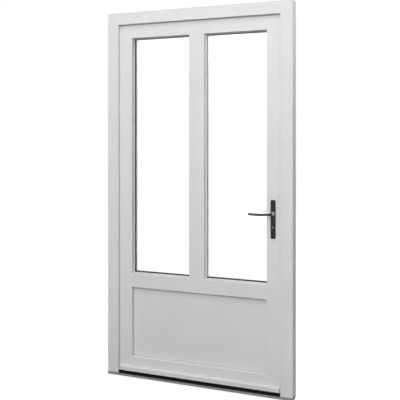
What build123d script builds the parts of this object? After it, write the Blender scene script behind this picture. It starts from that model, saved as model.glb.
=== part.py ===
from build123d import *
import os

os.makedirs("parts", exist_ok=True)

# A front door of plastic profiles that opens inwards, in millimetres.
# X runs to the right as seen from outside, Y runs into the building and Z runs up.
# The origin is the centre of the threshold's underside.

# Outer frame
FRAME_WIDTH = 1100.0
FRAME_HEIGHT = 2100.0
FRAME_DEPTH = 70.0
FRAME_FACE = 68.0
STOP_LEG_THICKNESS = 12.0
STOP_LEG_OVERHANG = 20.0
PROFILE_EDGE_RADIUS = 2.5
FIXING_HOLE_RADIUS = 4.0
FIXING_HOLE_DEPTH = 41.0
FIXING_CENTRE_HEIGHT = FRAME_HEIGHT / 2
FIXING_END_SPACING = 200.0
FIXING_OUTER_SPACING = FRAME_HEIGHT - 2 * FIXING_END_SPACING
FIXING_INNER_SPACING = 600.0

# Threshold
NOSING_THICKNESS = 4.0
NOSING_HEIGHT = 16.0
NOSING_FOOT = 3.0
CORE_WIDTH = 36.0
CORE_HEIGHT = 15.0
CORE_GROOVES = 5
CORE_GROOVE_WIDTH = 2.0
CORE_GROOVE_DEPTH = 1.5
INNER_RAIL_HEIGHT = 20.0
INNER_RAIL_RAMP = 10.0
INNER_RAIL_EDGE = 12.0

# Gaps and seals between frame and leaf
RUNNING_GAP = 5.0
REBATE_AIR = 12.0
SILL_GAP = 6.0
SEAL_THICKNESS = 3.0
SEAL_WIDTH = 6.0
SEAL_EDGE_GAP = 1.0
SWEEP_WIDTH = 6.0
SWEEP_SETBACK = 5.0

# Leaf
LEAF_DEPTH = 72.0
LEAF_FACE = 86.5
FLANGE_WIDTH = 20.0
MID_RAIL_BOTTOM = 513.0
MID_RAIL_FACE = 80.0
MULLION_FACE = 90.0

# Glazing
LIP_DEPTH = 31.0
LIP_DRAFT = 2.0
LEDGE_DEPTH = 25.0
LEDGE_WIDTH = 2.0
GLAZING_REBATE = 20.0
OUTER_GASKET_THICKNESS = 4.0
INNER_GASKET_THICKNESS = 3.0
GASKET_SEAT = 12.0
GASKET_SIGHT = 3.0
INNER_GASKET_SIGHT = 1.0
GLASS_UNIT = 24.0
GLASS_SHEET = 4.0
GLASS_EDGE_GAP = 5.0
SPACER_WIDTH = 12.0
SPACER_SETBACK = 2.0
BEAD_CREST = 2.5
BEAD_SLOPE = 5.0
BEAD_MITRE_GAP = 0.3

# Solid panel below the mid rail
PANEL_RECESS = 20.0
PANEL_SHADOW_GAP = 1.0
PANEL_GASKET_SIGHT = 2.0
PANEL_CORE_GAP = 1.0
PANEL_EDGE_RADIUS = 1.0

# Weather bar at the leaf's foot
BAR_PROJECTION = 16.0
BAR_HEIGHT = 25.5
BAR_FRONT_HEIGHT = 22.0
BAR_RISE = 6.0
BAR_END_GAP = 7.0
BAR_NOSE_RADIUS = 2.0
DRIP_SETBACK = 3.0
DRIP_WIDTH = 4.0
DRIP_DEPTH = 3.0

# Hinges on the inside
HINGE_END_SPACING = 250.0
HINGE_HEIGHTS = {
    "top": FRAME_HEIGHT - HINGE_END_SPACING,
    "middle": FRAME_HEIGHT / 2,
    "bottom": HINGE_END_SPACING,
}
HINGE_LENGTH = 100.0
HINGE_LEAF_KNUCKLE = 50.0
HINGE_KNUCKLE_GAP = 1.0
HINGE_AXIS_OFFSET = 11.0
KNUCKLE_RADIUS = 9.0
PIN_RADIUS = 4.0
PIN_SEAT_CLEARANCE = 0.1
PIN_RUNNING_CLEARANCE = 0.3
PIN_CAP_RADIUS = 6.5
PIN_CAP_HEIGHT = 3.0
HINGE_PAD_THICKNESS = 8.0
HINGE_PAD_EDGE_GAP = 4.0
HINGE_WEB_REACH = 4.0
HINGE_PLATE_WIDTH = 42.0
HINGE_PLATE_THICKNESS = 5.0
HINGE_PLATE_SETBACK = 4.0
HINGE_ARM_REACH = 31.0
HINGE_CORNER_RADIUS = 3.0

# Handle, lock cylinder and lock edge
HANDLE_HEIGHT = 974.0
HANDLE_BACKSET = 50.5
CYLINDER_DROP = 72.0
PLATE_WIDTH = 26.0
PLATE_LENGTH = 205.0
PLATE_BELOW_CYLINDER = 60.0
PLATE_THICKNESS = 8.0
PLATE_CORNER_RADIUS = 5.0
PLATE_EDGE_BEVEL = 2.0
NECK_RADIUS = 8.0
NECK_CLEARANCE = 0.3
NECK_SETBACK = 1.0
LEVER_STANDOFF = 40.0
LEVER_LENGTH = 123.0
LEVER_GRIP = 12.0
LEVER_DIP = 3.0
LEVER_TIP_RISE = -0.5
NECK_EDGE_BEVEL = 2.5
LEVER_EDGE_BEVEL = 2.5
LEVER_TIP_RADIUS = 5.0
SPINDLE_SIDE = 8.0
SPINDLE_CLEARANCE = 0.1
SPINDLE_REACH = 26.0
SPINDLE_BORE_RADIUS = 9.0
CYLINDER_RADIUS = 8.5
CYLINDER_HEIGHT = 33.0
CYLINDER_WEB = 10.0
CYLINDER_CLEARANCE = 0.3
CYLINDER_PROUD = 3.0
KEYWAY_WIDTH = 1.6
KEYWAY_HEIGHT = 8.0
KEYWAY_DEPTH = 6.0
FACEPLATE_WIDTH = 16.0
FACEPLATE_THICKNESS = 3.0
FACEPLATE_END_GAP = 90.0
FACEPLATE_SETBACK = 9.0
FACEPLATE_CLEARANCE = 0.2
KEEP_LENGTH = 240.0
KEEP_THICKNESS = 3.0

# Planes and edges that several pieces share
half_width = FRAME_WIDTH / 2
frame_outside = -FRAME_DEPTH / 2
frame_inside = FRAME_DEPTH / 2
stop_back = frame_outside + STOP_LEG_THICKNESS
rebate_floor = FRAME_FACE - STOP_LEG_OVERHANG
leaf_outside = stop_back + SEAL_THICKNESS + RUNNING_GAP
leaf_inside = leaf_outside + LEAF_DEPTH
flange_outside = frame_inside + RUNNING_GAP + SEAL_THICKNESS
leaf_half = half_width - rebate_floor - REBATE_AIR
leaf_bottom = INNER_RAIL_HEIGHT + SILL_GAP
leaf_top = FRAME_HEIGHT - rebate_floor - REBATE_AIR
lip_back = leaf_outside + LIP_DEPTH
glass_outside = lip_back + OUTER_GASKET_THICKNESS
glass_inside = glass_outside + GLASS_UNIT
bead_outside = glass_inside + INNER_GASKET_THICKNESS
core_inside = frame_outside + NOSING_THICKNESS + CORE_WIDTH
opening_half = leaf_half - LEAF_FACE
mid_rail_top = MID_RAIL_BOTTOM + MID_RAIL_FACE
mid_rail_centre = MID_RAIL_BOTTOM + MID_RAIL_FACE / 2
ledge_back = leaf_outside + LEDGE_DEPTH
lip_reach = LIP_DRAFT + LEDGE_WIDTH

# Rectangles seen from outside: left, right, bottom, top
frame_rect = (-half_width, half_width, 0.0, FRAME_HEIGHT)
leaf_rect = (-leaf_half, leaf_half, leaf_bottom, leaf_top)
left_opening = (-opening_half, -MULLION_FACE / 2, mid_rail_top, leaf_top - LEAF_FACE)
right_opening = (MULLION_FACE / 2, opening_half, mid_rail_top, leaf_top - LEAF_FACE)
panel_opening = (-opening_half, opening_half, leaf_bottom + LEAF_FACE, MID_RAIL_BOTTOM)


def grown(rect, margin):
    """The same rectangle with every side moved outwards."""
    left, right, bottom, top = rect
    return (left - margin, right + margin, bottom - margin, top + margin)


def slab(rect, outside, inside):
    """A plate that fills a rectangle between two depths."""
    left, right, bottom, top = rect
    size = (right - left, inside - outside, top - bottom)
    centre = ((left + right) / 2, (outside + inside) / 2, (bottom + top) / 2)
    return Pos(*centre) * Box(*size)


def ring(outer, inner, outside, inside):
    """A flat rectangular ring between two depths."""
    return slab(outer, outside, inside) - slab(inner, outside, inside)


def section(points, radii=None):
    """A closed profile, with its corners rounded where radii are given."""
    if radii is None:
        return make_face(Polyline(*points, close=True))
    return make_face(FilletPolyline(*points, radius=radii, close=True))


def side_plane(rect, side):
    """The start of a bar on one side of a rectangle: profile X points inwards, profile Y into the building."""
    left, right, bottom, top = rect
    starts = {
        "left": ((left, 0, bottom), (1, 0, 0), (0, 0, 1), top - bottom),
        "right": ((right, 0, top), (-1, 0, 0), (0, 0, -1), top - bottom),
        "top": ((left, 0, top), (0, 0, -1), (1, 0, 0), right - left),
        "bottom": ((right, 0, bottom), (0, 0, 1), (-1, 0, 0), right - left),
    }
    origin, inwards, along, length = starts[side]
    return Plane(origin=origin, x_dir=inwards, z_dir=along), length


def side_bar(profile, rect, side, mitres="both", gap=0.0):
    """A bar along one side of a rectangle, cut at 45 degrees where it meets the next bar."""
    plane, length = side_plane(rect, side)
    bar = extrude(plane * profile, amount=length, dir=plane.z_dir)
    if mitres in ("both", "start"):
        start = plane.origin + plane.z_dir * gap
        bar = split(bar, Plane(start, x_dir=plane.y_dir, z_dir=plane.z_dir - plane.x_dir), Keep.TOP)
    if mitres in ("both", "end"):
        end = plane.origin + plane.z_dir * (length - gap)
        bar = split(bar, Plane(end, x_dir=plane.y_dir, z_dir=-plane.z_dir - plane.x_dir), Keep.TOP)
    return bar


def cross_bar(profile, left, right):
    """A profile of depth and height, run from left to right."""
    plane = Plane(origin=(left, 0, 0), x_dir=(0, 1, 0), z_dir=(1, 0, 0))
    return extrude(plane * profile, amount=right - left, dir=(1, 0, 0))


def outward_plane(x, depth, z):
    """A plane that faces outside, with its X to the right and its Y up."""
    return Plane(origin=(x, depth, z), x_dir=(1, 0, 0), z_dir=(0, -1, 0))


def other_side(piece):
    """The same piece on the leaf's inner face."""
    return mirror(piece, about=Plane(origin=(0, (leaf_outside + leaf_inside) / 2, 0), z_dir=(0, 1, 0)))


nodes = {}

# Threshold: an aluminium nosing with a foot, a ribbed black core on that foot, and an aluminium inner rail
nosing_back = frame_outside + NOSING_THICKNESS
nodes["threshold_nosing"] = cross_bar(
    section(
        [
            (frame_outside, 0),
            (core_inside, 0),
            (core_inside, NOSING_FOOT),
            (nosing_back, NOSING_FOOT),
            (nosing_back, NOSING_HEIGHT),
            (frame_outside, NOSING_HEIGHT),
        ]
    ),
    -half_width,
    half_width,
)
core = slab((-half_width, half_width, NOSING_FOOT, CORE_HEIGHT), nosing_back, core_inside)
groove_pitch = CORE_WIDTH / (CORE_GROOVES + 1)
clear_half = half_width - FRAME_FACE
for number in range(CORE_GROOVES):
    groove_depth = nosing_back + groove_pitch * (number + 1)
    groove = (-clear_half, clear_half, CORE_HEIGHT - CORE_GROOVE_DEPTH, CORE_HEIGHT)
    core -= slab(groove, groove_depth - CORE_GROOVE_WIDTH / 2, groove_depth + CORE_GROOVE_WIDTH / 2)
nodes["threshold_core"] = core
nodes["threshold_inner_rail"] = cross_bar(
    section(
        [
            (core_inside, 0),
            (frame_inside, 0),
            (frame_inside, INNER_RAIL_EDGE),
            (frame_inside - INNER_RAIL_RAMP, INNER_RAIL_HEIGHT),
            (core_inside, INNER_RAIL_HEIGHT),
        ]
    ),
    -half_width,
    half_width,
)

# Outer frame: one rebated profile, mitred at the top corners and coped onto the threshold
frame_profile = section(
    [
        (0, frame_outside),
        (FRAME_FACE, frame_outside),
        (FRAME_FACE, stop_back),
        (rebate_floor, stop_back),
        (rebate_floor, frame_inside),
        (0, frame_inside),
    ],
    [0, PROFILE_EDGE_RADIUS, PROFILE_EDGE_RADIUS / 2, 0, PROFILE_EDGE_RADIUS, 0],
)
threshold_seat = cross_bar(
    section(
        [
            (frame_outside, 0),
            (frame_inside, 0),
            (frame_inside, INNER_RAIL_EDGE),
            (frame_inside - INNER_RAIL_RAMP, INNER_RAIL_HEIGHT),
            (core_inside, INNER_RAIL_HEIGHT),
            (core_inside, CORE_HEIGHT),
            (nosing_back, CORE_HEIGHT),
            (nosing_back, NOSING_HEIGHT),
            (frame_outside, NOSING_HEIGHT),
        ]
    ),
    -half_width,
    half_width,
)
fixing_depth = frame_outside + FIXING_HOLE_DEPTH
fixing_heights = [
    FIXING_CENTRE_HEIGHT + sign * spacing / 2
    for spacing in (FIXING_OUTER_SPACING, FIXING_INNER_SPACING)
    for sign in (-1, 1)
]
fixing_holes = [
    Pos(0, fixing_depth, height) * Rot(0, 90, 0) * Cylinder(FIXING_HOLE_RADIUS, FRAME_WIDTH)
    for height in fixing_heights
]
nodes["frame_head"] = side_bar(frame_profile, frame_rect, "top")
hinge_jamb = side_bar(frame_profile, frame_rect, "left", "end") - threshold_seat
lock_jamb = side_bar(frame_profile, frame_rect, "right", "start") - threshold_seat
for hole in fixing_holes:
    hinge_jamb -= hole
    lock_jamb -= hole
nodes["frame_hinge_jamb"] = hinge_jamb
nodes["frame_lock_jamb"] = lock_jamb

# Frame seal: a rubber strip on the back of the stop leg, along both jambs and the head
seal_outer_half = half_width - FRAME_FACE + SEAL_EDGE_GAP + SEAL_WIDTH
seal_top = FRAME_HEIGHT - FRAME_FACE + SEAL_EDGE_GAP + SEAL_WIDTH
frame_seal_rect = (-seal_outer_half, seal_outer_half, INNER_RAIL_HEIGHT, seal_top)
seal_clear = (-seal_outer_half + SEAL_WIDTH, seal_outer_half - SEAL_WIDTH, 0.0, seal_top - SEAL_WIDTH)
nodes["frame_seal"] = ring(frame_seal_rect, seal_clear, stop_back, stop_back + SEAL_THICKNESS)

# Leaf: one flanged and rebated profile, mitred at all four corners
flange_rect = grown(leaf_rect, FLANGE_WIDTH)
face_edge = FLANGE_WIDTH + LEAF_FACE
leaf_points = [
    (0, flange_outside),
    (FLANGE_WIDTH, flange_outside),
    (FLANGE_WIDTH, leaf_outside),
    (face_edge, leaf_outside),
    (face_edge + LIP_DRAFT, ledge_back),
    (face_edge + lip_reach, ledge_back),
    (face_edge + lip_reach, lip_back),
    (face_edge - GLAZING_REBATE, lip_back),
    (face_edge - GLAZING_REBATE, leaf_inside),
    (0, leaf_inside),
]
leaf_radii = [
    PROFILE_EDGE_RADIUS / 2,
    0,
    PROFILE_EDGE_RADIUS,
    PROFILE_EDGE_RADIUS,
    0,
    PROFILE_EDGE_RADIUS / 2,
    0,
    0,
    0,
    PROFILE_EDGE_RADIUS,
]
leaf_profile = section(leaf_points, leaf_radii)
sharp_leaf_profile = section(leaf_points)
hinge_stile = side_bar(leaf_profile, flange_rect, "left")
lock_stile = side_bar(leaf_profile, flange_rect, "right")
nodes["leaf_top_rail"] = side_bar(leaf_profile, flange_rect, "top")
nodes["leaf_bottom_rail"] = side_bar(leaf_profile, flange_rect, "bottom")


def bar_profile(face):
    """A T-shaped profile for a bar between two openings, rounded and sharp."""
    half = face / 2
    web = half - GLAZING_REBATE
    points = [
        (-half, leaf_outside),
        (half, leaf_outside),
        (half + LIP_DRAFT, ledge_back),
        (half + lip_reach, ledge_back),
        (half + lip_reach, lip_back),
        (web, lip_back),
        (web, leaf_inside),
        (-web, leaf_inside),
        (-web, lip_back),
        (-half - lip_reach, lip_back),
        (-half - lip_reach, ledge_back),
        (-half - LIP_DRAFT, ledge_back),
    ]
    soft = PROFILE_EDGE_RADIUS
    radii = [soft, soft, 0, soft / 2, 0, 0, 0, 0, 0, 0, soft / 2, 0]
    return section(points, radii), section(points)


# Mid rail and mullion: T-shaped bars, their ends coped over the profiles that they meet
mid_profile, sharp_mid_profile = bar_profile(MID_RAIL_FACE)
mid_start = -opening_half - GLAZING_REBATE
mid_plane = Plane(origin=(mid_start, 0, mid_rail_centre), x_dir=(0, 0, -1), z_dir=(1, 0, 0))
mid_rail = extrude(mid_plane * mid_profile, amount=-2 * mid_start, dir=(1, 0, 0))
sharp_mid_rail = extrude(mid_plane * sharp_mid_profile, amount=-2 * mid_start, dir=(1, 0, 0))
for side in ("left", "right"):
    mid_rail -= side_bar(sharp_leaf_profile, flange_rect, side)
nodes["leaf_mid_rail"] = mid_rail
mullion_profile, _ = bar_profile(MULLION_FACE)
mullion_start = mid_rail_top - GLAZING_REBATE
mullion_length = left_opening[3] + GLAZING_REBATE - mullion_start
mullion_plane = Plane(origin=(0, 0, mullion_start), x_dir=(1, 0, 0), z_dir=(0, 0, 1))
mullion = extrude(mullion_plane * mullion_profile, amount=mullion_length, dir=(0, 0, 1))
mullion -= side_bar(sharp_leaf_profile, flange_rect, "top")
nodes["leaf_mullion"] = mullion - sharp_mid_rail


def glazing_gaskets(opening, sight):
    """The rubber ring outside a pane or panel, and the one inside it."""
    seat = grown(opening, GASKET_SEAT)
    outer = ring(seat, grown(opening, -lip_reach - sight), lip_back, glass_outside)
    inner = ring(seat, grown(opening, -BEAD_CREST - INNER_GASKET_SIGHT), glass_inside, bead_outside)
    return outer, inner


def glazing_beads(opening):
    """Four sloped beads that hold a pane or panel from inside, with hairline mitres."""
    crest = GLAZING_REBATE + BEAD_CREST
    profile = section(
        [
            (0, bead_outside),
            (crest, bead_outside),
            (crest - BEAD_SLOPE, leaf_inside),
            (0, leaf_inside),
        ],
        [0, 0, PROFILE_EDGE_RADIUS, 0],
    )
    seat = grown(opening, GLAZING_REBATE)
    sides = ("left", "right", "top", "bottom")
    return Compound(
        children=[side_bar(profile, seat, side, gap=BEAD_MITRE_GAP) for side in sides]
    )


# Double-glazed units: two sheets of glass on a spacer ring, between gaskets, held by beads
for name, opening in (("left_pane", left_opening), ("right_pane", right_opening)):
    glass_rect = grown(opening, GLAZING_REBATE - GLASS_EDGE_GAP)
    cavity_outside = glass_outside + GLASS_SHEET
    cavity_inside = glass_inside - GLASS_SHEET
    spacer_rect = grown(glass_rect, -SPACER_SETBACK)
    nodes[name + "_outer_glass"] = slab(glass_rect, glass_outside, cavity_outside)
    nodes[name + "_inner_glass"] = slab(glass_rect, cavity_inside, glass_inside)
    nodes[name + "_spacer"] = ring(
        spacer_rect, grown(spacer_rect, -SPACER_WIDTH), cavity_outside, cavity_inside
    )
    outer_gasket, inner_gasket = glazing_gaskets(opening, GASKET_SIGHT)
    nodes[name + "_outer_gasket"] = outer_gasket
    nodes[name + "_inner_gasket"] = inner_gasket
    nodes[name + "_beads"] = glazing_beads(opening)

# Bottom panel: a tongue in the same rebate as the glass, a core through the gasket, and a face on the ledge
panel_outside = leaf_outside + PANEL_RECESS
face_rect = grown(panel_opening, -LIP_DRAFT - PANEL_SHADOW_GAP)
face = slab(face_rect, panel_outside, ledge_back)
face = fillet(face.faces().sort_by(Axis.Y)[0].edges(), PANEL_EDGE_RADIUS)
core_rect = grown(panel_opening, -lip_reach - PANEL_GASKET_SIGHT - PANEL_CORE_GAP)
tongue_rect = grown(panel_opening, GLAZING_REBATE - GLASS_EDGE_GAP)
panel = slab(tongue_rect, glass_outside, glass_inside) + slab(core_rect, ledge_back, glass_outside)
nodes["bottom_panel"] = panel + face
outer_gasket, inner_gasket = glazing_gaskets(panel_opening, PANEL_GASKET_SIGHT)
nodes["panel_outer_gasket"] = outer_gasket
nodes["panel_inner_gasket"] = inner_gasket
nodes["panel_beads"] = glazing_beads(panel_opening)

# Leaf seal: a rubber ring on the flange, facing the frame's inner face
leaf_seal_rect = grown(flange_rect, -SEAL_EDGE_GAP)
nodes["leaf_seal"] = ring(
    leaf_seal_rect, grown(leaf_seal_rect, -SEAL_WIDTH), flange_outside - SEAL_THICKNESS, flange_outside
)

# Bottom sweep: a rubber strip under the leaf, over the threshold's core
sweep_rect = (-clear_half, clear_half, CORE_HEIGHT + RUNNING_GAP, leaf_bottom)
sweep_outside = leaf_outside + SWEEP_SETBACK
nodes["bottom_sweep_seal"] = slab(sweep_rect, sweep_outside, sweep_outside + SWEEP_WIDTH)

# Weather bar: a sloped nose on the leaf's face, with a drip groove underneath
bar_bottom = leaf_bottom + BAR_RISE
bar_front = leaf_outside - BAR_PROJECTION
bar_half = clear_half - BAR_END_GAP
drip_front = bar_front + DRIP_SETBACK
drip_back = drip_front + DRIP_WIDTH
nodes["weather_bar"] = cross_bar(
    section(
        [
            (leaf_outside, bar_bottom),
            (leaf_outside, bar_bottom + BAR_HEIGHT),
            (bar_front, bar_bottom + BAR_FRONT_HEIGHT),
            (bar_front, bar_bottom),
            (drip_front, bar_bottom),
            (drip_front, bar_bottom + DRIP_DEPTH),
            (drip_back, bar_bottom + DRIP_DEPTH),
            (drip_back, bar_bottom),
        ],
        [0, 0, BAR_NOSE_RADIUS, 0, 0, 0, 0, 0],
    ),
    -bar_half,
    bar_half,
)

# Hinges: a padded frame part with two knuckles, a leaf part with one between them, and a capped pin
axis_x = -leaf_half - FLANGE_WIDTH - HINGE_AXIS_OFFSET
axis_y = leaf_inside + HINGE_AXIS_OFFSET
outer_knuckle = (HINGE_LENGTH - HINGE_LEAF_KNUCKLE) / 2 - HINGE_KNUCKLE_GAP
pad_left = -half_width + HINGE_PAD_EDGE_GAP
web_left = axis_x - KNUCKLE_RADIUS
web_right = axis_x + HINGE_WEB_REACH
arm_right = axis_x + HINGE_ARM_REACH
plate_left = -leaf_half - FLANGE_WIDTH + HINGE_PLATE_SETBACK
pins = []


def upright(profile, bottom, height):
    """A profile in plan, raised from a height."""
    return extrude(Pos(0, 0, bottom) * profile, amount=height, dir=(0, 0, 1))


def plan_box(left, right, outside, inside):
    """A rectangle in plan."""
    return Pos((left + right) / 2, (outside + inside) / 2) * Rectangle(right - left, inside - outside)


def rounded_plate(rect, outside, inside, radius):
    """A plate with its four corners rounded as seen from outside."""
    plate = slab(rect, outside, inside)
    return fillet(plate.edges().filter_by(Axis.Y), radius)


frame_knuckle = plan_box(web_left, web_right, frame_inside + HINGE_PAD_THICKNESS, axis_y)
frame_knuckle += Pos(axis_x, axis_y) * Circle(KNUCKLE_RADIUS)
frame_knuckle -= Pos(axis_x, axis_y) * Circle(PIN_RADIUS + PIN_SEAT_CLEARANCE)
leaf_knuckle = plan_box(axis_x, arm_right, leaf_inside, axis_y)
leaf_knuckle += Pos(axis_x, axis_y) * Circle(KNUCKLE_RADIUS)
leaf_knuckle -= Pos(axis_x, axis_y) * Circle(PIN_RADIUS + PIN_RUNNING_CLEARANCE)
for name, height in HINGE_HEIGHTS.items():
    low = height - HINGE_LENGTH / 2
    high = height + HINGE_LENGTH / 2
    pad_rect = (pad_left, web_right, low, high)
    frame_part = rounded_plate(
        pad_rect, frame_inside, frame_inside + HINGE_PAD_THICKNESS, HINGE_CORNER_RADIUS
    )
    for bottom in (low, high - outer_knuckle):
        frame_part += upright(frame_knuckle, bottom, outer_knuckle)
    nodes[name + "_hinge_frame_part"] = frame_part
    plate_rect = (plate_left, plate_left + HINGE_PLATE_WIDTH, low, high)
    leaf_part = rounded_plate(
        plate_rect, leaf_inside, leaf_inside + HINGE_PLATE_THICKNESS, HINGE_CORNER_RADIUS
    )
    leaf_part += upright(leaf_knuckle, height - HINGE_LEAF_KNUCKLE / 2, HINGE_LEAF_KNUCKLE)
    nodes[name + "_hinge_leaf_part"] = leaf_part
    pin_plane = Pos(axis_x, axis_y)
    pin = upright(pin_plane * Circle(PIN_RADIUS), low, HINGE_LENGTH)
    cap = upright(pin_plane * Circle(PIN_CAP_RADIUS), high, PIN_CAP_HEIGHT)
    pins.append(pin + cap)
nodes["hinge_pins"] = Compound(children=pins)

# Handle axis and the two plates, each with a bore for the lever's neck and a hole for the cylinder
handle_x = leaf_half - HANDLE_BACKSET
cylinder_z = HANDLE_HEIGHT - CYLINDER_DROP
plate_front = leaf_outside - PLATE_THICKNESS


def cylinder_profile(clearance):
    """The outline of a profile cylinder: a round barrel over a narrower rounded web."""
    web = CYLINDER_WEB / 2 + clearance
    web_drop = CYLINDER_HEIGHT - CYLINDER_RADIUS - CYLINDER_WEB / 2
    outline = Circle(CYLINDER_RADIUS + clearance)
    outline += Pos(0, -web_drop / 2) * Rectangle(2 * web, web_drop)
    return outline + Pos(0, -web_drop) * Circle(web)


plate_bottom = cylinder_z - PLATE_BELOW_CYLINDER
plate_rect = (
    handle_x - PLATE_WIDTH / 2,
    handle_x + PLATE_WIDTH / 2,
    plate_bottom,
    plate_bottom + PLATE_LENGTH,
)
handle_plate = rounded_plate(plate_rect, plate_front, leaf_outside, PLATE_CORNER_RADIUS)
handle_plate = chamfer(handle_plate.faces().sort_by(Axis.Y)[0].edges(), PLATE_EDGE_BEVEL)
neck_hole = outward_plane(handle_x, leaf_outside, HANDLE_HEIGHT) * Circle(NECK_RADIUS + NECK_CLEARANCE)
handle_plate -= extrude(neck_hole, amount=PLATE_THICKNESS, dir=(0, -1, 0))
cylinder_hole = outward_plane(handle_x, leaf_outside, cylinder_z) * cylinder_profile(CYLINDER_CLEARANCE)
handle_plate -= extrude(cylinder_hole, amount=PLATE_THICKNESS, dir=(0, -1, 0))
nodes["outer_handle_plate"] = handle_plate
nodes["inner_handle_plate"] = other_side(handle_plate)

# Levers: a round neck, and a flat grip that dips in the middle and rises at its tip
neck_back = leaf_outside - NECK_SETBACK
grip_back = plate_front - LEVER_STANDOFF
grip_front = grip_back - LEVER_GRIP
neck_start = outward_plane(handle_x, neck_back, HANDLE_HEIGHT) * Circle(NECK_RADIUS)
neck = extrude(neck_start, amount=neck_back - grip_front, dir=(0, -1, 0))
neck = chamfer(neck.faces().sort_by(Axis.Y)[0].edges(), NECK_EDGE_BEVEL)
half_grip = LEVER_GRIP / 2
grip_middle = -LEVER_LENGTH / 2
tip_top = (-LEVER_LENGTH, LEVER_TIP_RISE + half_grip)
tip_bottom = (-LEVER_LENGTH, LEVER_TIP_RISE - half_grip)
grip_outline = make_face(
    [
        ThreePointArc((0, half_grip), (grip_middle, half_grip - LEVER_DIP), tip_top),
        Line(tip_top, tip_bottom),
        ThreePointArc(tip_bottom, (grip_middle, -half_grip - LEVER_DIP), (0, -half_grip)),
        Line((0, -half_grip), (0, half_grip)),
    ]
)
grip_plane = outward_plane(handle_x, grip_back, HANDLE_HEIGHT)
grip = extrude(grip_plane * grip_outline, amount=LEVER_GRIP, dir=(0, -1, 0))
tip_edges = grip.edges().filter_by(Axis.Y).group_by(Axis.X)[0]
grip = fillet(tip_edges, LEVER_TIP_RADIUS)
front_edges = grip.faces().sort_by(Axis.Y)[0].edges()
back_edges = grip.faces().sort_by(Axis.Y)[-1].edges()
grip = chamfer(front_edges + back_edges, LEVER_EDGE_BEVEL)
lever = neck + grip
socket_side = SPINDLE_SIDE + 2 * SPINDLE_CLEARANCE
socket_depth = SPINDLE_REACH + SPINDLE_CLEARANCE
socket = outward_plane(handle_x, neck_back, HANDLE_HEIGHT) * Rectangle(socket_side, socket_side)
lever -= extrude(socket, amount=socket_depth, dir=(0, -1, 0))
nodes["outer_lever"] = lever
nodes["inner_lever"] = other_side(lever)

# Spindle: a square bar through the leaf that joins the two levers
spindle_outside = neck_back - SPINDLE_REACH
spindle_inside = leaf_outside + leaf_inside - spindle_outside
spindle_rect = (
    handle_x - SPINDLE_SIDE / 2,
    handle_x + SPINDLE_SIDE / 2,
    HANDLE_HEIGHT - SPINDLE_SIDE / 2,
    HANDLE_HEIGHT + SPINDLE_SIDE / 2,
)
nodes["spindle"] = slab(spindle_rect, spindle_outside, spindle_inside)

# Lock cylinder: one profile through both plates, with a keyway at each end
cylinder_outside = plate_front - CYLINDER_PROUD
cylinder_length = LEAF_DEPTH + 2 * (PLATE_THICKNESS + CYLINDER_PROUD)
barrel_start = outward_plane(handle_x, cylinder_outside, cylinder_z)
cylinder = extrude(barrel_start * cylinder_profile(0), amount=cylinder_length, dir=(0, 1, 0))
keyway_rect = (
    handle_x - KEYWAY_WIDTH / 2,
    handle_x + KEYWAY_WIDTH / 2,
    cylinder_z - KEYWAY_HEIGHT / 2,
    cylinder_z + KEYWAY_HEIGHT / 2,
)
keyway = slab(keyway_rect, cylinder_outside, cylinder_outside + KEYWAY_DEPTH)
nodes["lock_cylinder"] = cylinder - keyway - other_side(keyway)

# Lock edge: a steel faceplate let into the lock stile, facing a keep on the lock jamb
faceplate_outside = flange_outside - FACEPLATE_SETBACK - FACEPLATE_WIDTH
faceplate_inside = faceplate_outside + FACEPLATE_WIDTH
faceplate_rect = (
    leaf_half - FACEPLATE_THICKNESS,
    leaf_half,
    leaf_bottom + FACEPLATE_END_GAP,
    leaf_top - FACEPLATE_END_GAP,
)
nodes["lock_faceplate"] = slab(faceplate_rect, faceplate_outside, faceplate_inside)
keep_face = half_width - rebate_floor
keep_centre = HANDLE_HEIGHT - CYLINDER_DROP / 2
keep_rect = (
    keep_face - KEEP_THICKNESS,
    keep_face,
    keep_centre - KEEP_LENGTH / 2,
    keep_centre + KEEP_LENGTH / 2,
)
nodes["lock_keep_plate"] = slab(keep_rect, faceplate_outside, faceplate_inside)

# The lock stile's holes: a bore for the spindle, the cylinder's hole and the faceplate's groove
groove_rect = (
    leaf_half - FACEPLATE_THICKNESS,
    leaf_half,
    faceplate_rect[2] - FACEPLATE_CLEARANCE,
    faceplate_rect[3] + FACEPLATE_CLEARANCE,
)
lock_stile -= slab(
    groove_rect, faceplate_outside - FACEPLATE_CLEARANCE, faceplate_inside + FACEPLATE_CLEARANCE
)
spindle_bore = outward_plane(handle_x, leaf_outside, HANDLE_HEIGHT) * Circle(SPINDLE_BORE_RADIUS)
lock_stile -= extrude(spindle_bore, amount=LEAF_DEPTH, dir=(0, 1, 0))
lock_stile -= extrude(cylinder_hole, amount=LEAF_DEPTH, dir=(0, 1, 0))
nodes["leaf_hinge_stile"] = hinge_stile
nodes["leaf_lock_stile"] = lock_stile

for name, piece in nodes.items():
    export_step(piece, f"parts/{name}.step")
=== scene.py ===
import math

import bmesh
import bpy
from mathutils import Matrix, Vector


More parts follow.
